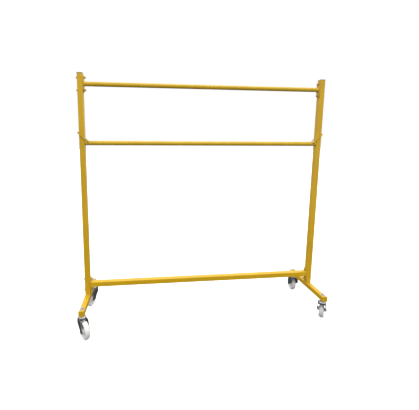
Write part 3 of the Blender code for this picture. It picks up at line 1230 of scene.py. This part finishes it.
@dataclass
class LiftBar:
    """The sliding bar, the rod loops that grip the posts and the welds between them."""

    body: str = "lift_bar"
    rod: float = 0.004
    slope: float = math.radians(43.5)
    reach: float = 0.048
    bend: float = 0.014
    clear: float = 0.0015
    side: float = 0.040
    bead: float = 0.0023
    sawn_wear: float = 3.0
    count: int = 28

    def build(self) -> None:
        """Make every piece of the lift bar."""
        RoundBar("lift_bar", self.body).dress()
        for side in Side:
            self.loop(side)
        self.welds()

    def route(self, side: Side) -> Ring:
        """Centre line of a loop.

        Args:
            side: Post it goes round.

        Returns:
            Points from the front end round the post to the rear end.
        """
        bar_low, bar_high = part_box("lift_bar")
        near = -((bar_high[2] - bar_low[2]) / 2 + self.rod + 0.0003)
        wide = -(self.side / 2 + self.rod + self.clear)
        run = (self.reach + self.bend) / math.cos(self.slope)
        flat = [(0.0012, near), (0.010, near), (0.020, near)]
        for s in (k / 10 for k in range(1, 10)):
            flat.append((0.020 + 0.018 * s, near + (wide - near) * s * s * (3 - 2 * s)))
        flat += [(0.038, wide), (0.052, wide), (run, wide)]
        half_turn = [math.pi * k / 36 for k in range(1, 36)]
        turn = [(run - wide * math.sin(a), wide * math.cos(a)) for a in half_turn]
        low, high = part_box(f"{side.word}_post")
        origin = Vector(((low[0] + high[0]) / 2, 0.0, centre("lift_bar").z + 0.004))
        return [
            origin + Vector((-side.value * (self.reach - u * math.cos(self.slope)), v, u * math.sin(self.slope)))
            for u, v in flat + turn + [(u, -v) for u, v in reversed(flat)]
        ]

    def loop(self, side: Side) -> None:
        """Bent rod with sawn ends, their edges eased.

        Args:
            side: Post it goes round.
        """
        route = self.route(side)
        normal = Vector((side.value * -math.sin(self.slope), 0.0, math.cos(self.slope)))
        rings = []
        for k, point in enumerate(route):
            ahead = (route[min(k + 1, len(route) - 1)] - route[max(k - 1, 0)]).normalized()
            across = ahead.cross(normal).normalized()
            up = across.cross(ahead).normalized()
            ring = [
                point + (across * math.cos(t) + up * math.sin(t)) * self.rod
                for t in (2 * math.pi * i / self.count for i in range(self.count))
            ]
            if k in (0, len(route) - 1):
                out = -ahead if k == 0 else ahead
                ends = [ring, [point + (p - point) * 0.86 + out * 0.0005 for p in ring]]
                rings += reversed(ends) if k == 0 else ends
            else:
                rings.append(ring)
        node = f"lift_bar_{side.word}_loop"
        mesh = skin(node, rings)
        wear_by_sharpness(mesh)
        for point, item in zip(mesh.vertices, mesh.attributes["wear"].data):
            if min((point.co - end).length for end in (route[0], route[-1])) < self.rod + 0.0004:
                item.value = self.sawn_wear
        piece(f"{node}_rod", mesh, BRACKET_ENAMEL, self.body, [node])

    def welds(self) -> None:
        """Beads along both sides of each rod end where it lies on the bar."""
        seams: list[tuple[Ring, bool]] = []
        for side in Side:
            route = self.route(side)
            for ends in (route[:3], route[-3:]):
                way = (ends[-1] - ends[0]).normalized()
                sign = -1 if ends[0].y < 0 else 1
                for lift in (-1, 1):
                    shift = Vector((0.0, -sign * 0.0033, 0.0)) + way.cross(Vector((0, sign, 0))) * lift * 0.0037
                    seams.append(([ends[0] + shift + way * 0.001, ends[-1] + shift - way * 0.004], False))
        bead = WeldRunner(WELD_ENAMEL).lay("loop_weld", seams, self.bead, 31)
        piece("loop_weld_beads", bead, WELD_ENAMEL, self.body)


# ---- Casters


@dataclass
class Caster:
    """One swivel caster: head, stem nut, pressed fork, axle and moulded wheel."""

    corner: Corner
    crown: float = 0.138
    dish: float = 0.143
    crown_steel: float = 0.004
    steel: float = 0.005
    inside: float = 0.024
    eye: float = 0.018
    bend: float = 0.0065
    rib: float = 0.0009
    roll: float = 0.0012
    crown_hole: float = 0.0115
    wheel_radius: float = 0.0625
    wheel_half: float = 0.018
    hub_half: float = 0.0235
    stem: float = 0.006
    fasteners: HexFasteners = field(default_factory=lambda: HexFasteners(pitch=0.00175, thread_depth=0.0008))

    def __post_init__(self) -> None:
        """Work out the caster's own axes from its joints."""
        self.name = f"caster_{self.corner.value}"
        self.swivel = f"{self.name}_swivel"
        self.roller = f"{self.name}_roller"
        pivot = Vector(joint(f"{self.name}_turn")["pos_m"])
        roll = joint(f"{self.name}_roll")
        hub, across = Vector(roll["pos_m"]), Vector(roll["axis"]).normalized()
        ahead = Vector((hub.x - pivot.x, hub.y - pivot.y, 0.0))
        self.trail, self.hub_height = ahead.length, hub.z
        ahead.normalize()
        turn = Matrix((ahead, across, Vector((0, 0, 1)))).transposed().to_4x4()
        self.post_place = Matrix.Translation((pivot.x, pivot.y, 0.0))
        self.place = self.post_place @ turn
        self.hub_place = Matrix.Translation(hub) @ turn

    def build(self) -> None:
        """Make every piece of the caster."""
        self.head()
        self.stem_nut()
        self.fork()
        self.axle()
        self.wheel()

    def head(self) -> None:
        """Swivel cover, collar and threaded stem, turned about the kingpin."""
        node = f"{self.name}_head"
        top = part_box(node)[1][2]
        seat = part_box("left_foot")[0][2] - 0.0003
        d, rivet, s = self.dish, self.crown - 0.0044, self.stem
        core = turned(node, fillet([
            (0.0001, rivet - 0.0051), (0.0088, rivet - 0.0051), (0.0100, rivet - 0.0039), (0.0100, rivet), (s, rivet),
            (s, d + 0.0004), (0.0235, d + 0.0004), (0.0245, d + 0.0011), (0.0245, d + 0.0028), (0.0232, d + 0.0042),
            (0.0200, d + 0.0060), (0.0195, d + 0.0072), (0.0195, d + 0.0110), (0.0190, d + 0.0114),
            (0.0190, d + 0.0126), (0.0195, d + 0.0130), (0.0195, seat), (s, seat), (s - 0.0008, seat + 0.002),
            (s - 0.0008, seat + 0.041),
        ], 0.0007))
        wear_by_sharpness(core)
        thread = self.fasteners.thread(s, seat + 0.0405, top)
        mesh = moved(joined(node, [core, thread]), self.post_place)
        piece(f"{node}_turning", mesh, SWIVEL_ZINC, "rack_frame", [node])

    def stem_nut(self) -> None:
        """Nut and washer on top of the foot."""
        node = f"{self.name}_stem_nut"
        low, high = extent(node)
        template = self.fasteners.head(0.0109, 0.0145, 0.0022, high.z - low.z, 0.0092)
        spot = [(Vector((*centre(node).xy, low.z)), Vector((0, 0, 1)))]
        seed = 40 + list(Corner).index(self.corner)
        mesh = FastenerSetter(f"{node}_setter", BRIGHT_ZINC).set(node, template, spot, seed)
        piece(f"{node}_zinc", mesh, BRIGHT_ZINC, "rack_frame", [node])

    def side_outline(self) -> Profile:
        """Outline of the fork seen from the side, clockwise from the rear.

        Returns:
            Points as (ahead, height).
        """
        hub, top = self.hub_height, self.crown
        arc = [math.radians(22 - 154 * k / 60) for k in range(61)]
        outline = [(-0.0278, 0.096), (-0.0278, top - 0.005), (-0.024, top), (0.028, top), (0.0336, top - 0.005)]
        return outline + [(self.trail + self.eye * math.cos(a), hub + self.eye * math.sin(a)) for a in arc]

    def leg_limits(self, height: float) -> tuple[float, float]:
        """Rear and front edge of a fork leg at a height.

        Args:
            height: Height above the floor.

        Returns:
            The two x values in the caster's own axes.
        """
        outline = self.side_outline()
        cuts = []
        for (xa, za), (xb, zb) in zip(outline, outline[1:] + outline[:1]):
            if (za - height) * (zb - height) <= 0 and za != zb:
                cuts.append(xa + (xb - xa) * (height - za) / (zb - za))
        return min(cuts), max(cuts)

    def fork_sheet(self, name: str) -> Mesh:
        """Bend the fork's sheet: two legs with a rib and rolled edges, and a pierced crown.

        Args:
            name: Name of the mesh.

        Returns:
            The sheet with its thickness and eased edges.
        """
        mid, bend, hub = self.inside + self.steel / 2, self.bend, self.hub_height
        top = self.crown - self.crown_steel / 2
        curl = [math.pi / 2 * k / 9 for k in range(1, 10)]
        down = [hub - self.eye * 0.985 * math.cos(math.pi / 2 * k / 12) for k in range(12)]
        down += [hub + (top - bend - hub) * k / 24 for k in range(25)]
        track = [(-mid, z) for z in down]
        track += [(-mid + bend * (1 - math.cos(a)), top - bend + bend * math.sin(a)) for a in curl]
        track += [(-mid + bend + (mid - bend) * k / 4, top) for k in range(1, 5)]
        track += [(-y, z) for y, z in reversed(track[:-1])]
        columns = 24
        points, faces = [], []
        for y, z in track:
            back, front = self.leg_limits(min(z, self.crown - 0.0015))
            upper = min(1.0, max(0.0, (top - bend - z) / 0.012))
            leg = upper * min(1.0, max(0.0, (z - hub - 0.012) / 0.02))
            for k in range(columns + 1):
                x = back + (front - back) * (1 - math.cos(math.pi * k / columns)) / 2
                rim = max(0.0, 1 - min(x - back, front - x) / 0.005)
                rib = math.exp(-((x - (back + front) / 2) / 0.007) ** 2) * self.rib - rim * rim * self.roll
                points.append((x, y + math.copysign(rib * leg - 0.0005, y), z))
        for r, k in product(range(len(track) - 1), range(columns)):
            a = r * (columns + 1) + k
            corners = (a, a + 1, a + columns + 2, a + columns + 1)
            middle = sum((Vector(points[c]) for c in corners), Vector()) / 4
            if middle.z < top - 0.0005 or middle.xy.length > self.crown_hole:
                faces.append(corners)
        sheet = bpy.data.meshes.new(name)
        sheet.from_pydata(points, [], faces)
        face_outwards(sheet)
        obj = linked(f"{name}_work", sheet)
        plate = obj.modifiers.new("steel", "SOLIDIFY")
        plate.thickness, plate.offset = self.steel - 0.0008, 0.0
        ease = obj.modifiers.new("ease", "BEVEL")
        ease.width, ease.segments, ease.limit_method, ease.angle_limit = 0.0007, 2, "ANGLE", math.radians(50)
        return live_mesh(obj, name)

    def fork(self) -> None:
        """Pressed steel fork and its lower ball dish."""
        node = f"{self.name}_fork"
        bore, under, c, d = self.stem + 0.0004, self.crown - 0.0042, self.crown, self.dish
        dish = turned("dish", fillet([
            (bore, under), (0.0215, under), (0.0235, c + 0.0004), (0.0265, c + 0.0020), (0.0265, d - 0.0004),
            (0.0258, d), (bore, d),
        ], 0.0008), closed=True)
        sheet = self.fork_sheet(node)
        wear_by_sharpness(sheet)
        wear_by_sharpness(dish)
        mesh = moved(joined(node, [sheet, dish]), self.place)
        piece(f"{node}_pressing", mesh, FORK_ZINC, self.swivel, [node])

    def axle(self) -> None:
        """Axle bolt and its nut, with the thread's end showing."""
        bolt, nut = f"{self.name}_axle_bolt", f"{self.name}_axle_nut"
        seat = self.inside + self.steel + 0.0003
        end = 2 * seat + 0.0080
        head, nut_head = (self.fasteners.head(0.0092, 0.0105, 0.0018, height, 0.0076) for height in (0.0055, 0.0065))
        shank = turned("shank", [(0.0047, 0.0105 - end), (0.0047, 0.0001)], 32)
        paint(shank, "wear", lambda p: 0.0)
        thread = moved(self.fasteners.thread(0.0049, end - 0.011, end - 0.0002), END_FOR_END)
        along = Matrix.Translation((0, seat, 0)) @ Matrix.Rotation(-math.pi / 2, 4, "X")
        mesh = moved(joined(bolt, [head, shank, thread]), self.hub_place @ along)
        piece(f"{bolt}_zinc", mesh, FORK_ZINC, self.swivel, [bolt])
        mesh = moved(nut_head, self.hub_place @ (Matrix.Translation((0, -seat, 0)) @ ONTO_BACK))
        piece(f"{nut}_zinc", mesh, FORK_ZINC, self.swivel, [nut])

    def wheel(self) -> None:
        """Moulded wheel: crowned tread, dished web and hub boss."""
        node = f"{self.name}_wheel"
        r, h, hub = self.wheel_radius, self.wheel_half, self.hub_half
        face = fillet([
            (0.00506, hub), (0.0150, hub), (0.0168, hub - 0.0020), (0.0188, 0.0092), (0.0225, 0.0088),
            (0.0450, 0.0088), (0.0478, 0.0105), (0.0490, h - 0.0012), (0.0557, h - 0.0001), (0.0585, h - 0.0024),
            (0.0600, h - 0.0038), (0.0613, h - 0.0071), (r, h - 0.0106), (r, 0.0),
        ], 0.0012)
        profile = face + [(a, -b) for a, b in reversed(face[:-1])]
        mesh = turned(node, profile, 128, closed=True)
        paint(mesh, "tread", lambda p: min(1.0, max(0.0, (math.hypot(p.x, p.y) - 0.0585) / 0.003)))
        paint(mesh, "wear", lambda p: 0.0)
        moved(mesh, self.hub_place @ ONTO_BACK)
        piece(f"{node}_moulding", mesh, WHITE_NYLON, self.roller, [node])


# ---- Studio


@dataclass
class Studio:
    """Floor, soft light and camera."""

    eye: Triple = (-0.4615, -1.9728, 1.4062)
    yaw: float = 0.0993
    pitch: float = 0.1204
    roll: float = 0.0037
    lens: float = 21.769
    shift: tuple[float, float] = (0.0904, -0.0732)
    zenith: float = 1.38
    horizon: float = 1.0
    nadir: float = 0.10
    floor_reach: float = 60.0

    def build(self) -> None:
        """Set up floor, light and camera."""
        self.floor()
        self.sky()
        self.lamps()
        self.camera()

    def floor(self) -> None:
        """Plain pale floor that does not throw its light back up at the rack."""
        r = self.floor_reach
        mesh = bpy.data.meshes.new("studio_floor")
        mesh.from_pydata([(-r, -r, 0), (r, -r, 0), (r, r, 0), (-r, r, 0)], [], [(0, 1, 2, 3)])
        mesh.materials.append(FLOOR_FINISH.material())
        floor = linked("studio_floor", mesh)
        floor.visible_diffuse = False
        floor.visible_glossy = False

    def sky(self) -> None:
        """White dome, brightest overhead and dim below the floor."""
        world = bpy.data.worlds.new("studio_dome")
        bpy.context.scene.world = world
        world.use_nodes = True
        graph = Graph(world.node_tree)
        back = world.node_tree.nodes["Background"]
        where = graph.add("ShaderNodeTexCoord").outputs["Generated"]
        height = graph.add("ShaderNodeSeparateXYZ", None, Vector=where).outputs[2]
        low = graph.ramp(height, -0.40, -0.05, self.nadir, self.horizon)
        high = graph.ramp(height, 0.25, 0.95, 0.0, self.zenith - self.horizon)
        graph.feed(back.inputs["Strength"], graph.math("ADD", low, high))
        back.inputs["Color"].default_value = (1.0, 1.0, 1.0, 1.0)

    def lamp(self, name: str, kind: str, place: Triple, turn: Triple, **settings: object) -> None:
        """Add one light.

        Args:
            name: Name of the light.
            kind: Its type.
            place: Where it stands.
            turn: Its rotation.
            **settings: Properties of the light itself.
        """
        light = bpy.data.lights.new(name, kind)
        for key, value in settings.items():
            setattr(light, key, value)
        lamp = linked(name, light)
        lamp.location, lamp.rotation_euler = place, turn

    def lamps(self) -> None:
        """A broad overhead light, and a soft panel high in front that fades towards the floor."""
        self.lamp("overhead", "SUN", (0.0, 0.0, 0.0), (math.radians(-8), math.radians(14), 0.0), energy=1.25,
                  angle=math.radians(35))
        self.lamp("panel", "AREA", (0.2, -2.3, 3.3), (math.radians(46), 0.0, 0.0), energy=20.0, shape="RECTANGLE",
                  size=3.2, size_y=1.6)

    def camera(self) -> None:
        """Camera a little left of the middle, at the height of the lift bar."""
        lens = bpy.data.cameras.new("eye")
        lens.sensor_width, lens.sensor_fit, lens.lens = 36.0, "HORIZONTAL", self.lens
        lens.shift_x, lens.shift_y = self.shift
        eye = linked("eye", lens)
        level = Matrix.Rotation(-self.yaw, 4, "Z") @ Matrix.Rotation(math.pi / 2 - self.pitch, 4, "X")
        eye.matrix_world = Matrix.Translation(self.eye) @ level @ Matrix.Rotation(self.roll, 4, "Z")
        bpy.context.scene.camera = eye


def main() -> None:
    """Build the rack's looks in order."""
    logging.basicConfig(level=logging.INFO, format="%(name)s %(message)s")
    bpy.context.scene.view_settings.view_transform = "Standard"
    Frame().build()
    LiftBar().build()
    for corner in Corner:
        Caster(corner).build()
    Studio().build()


if __name__ == "__main__":
    main()
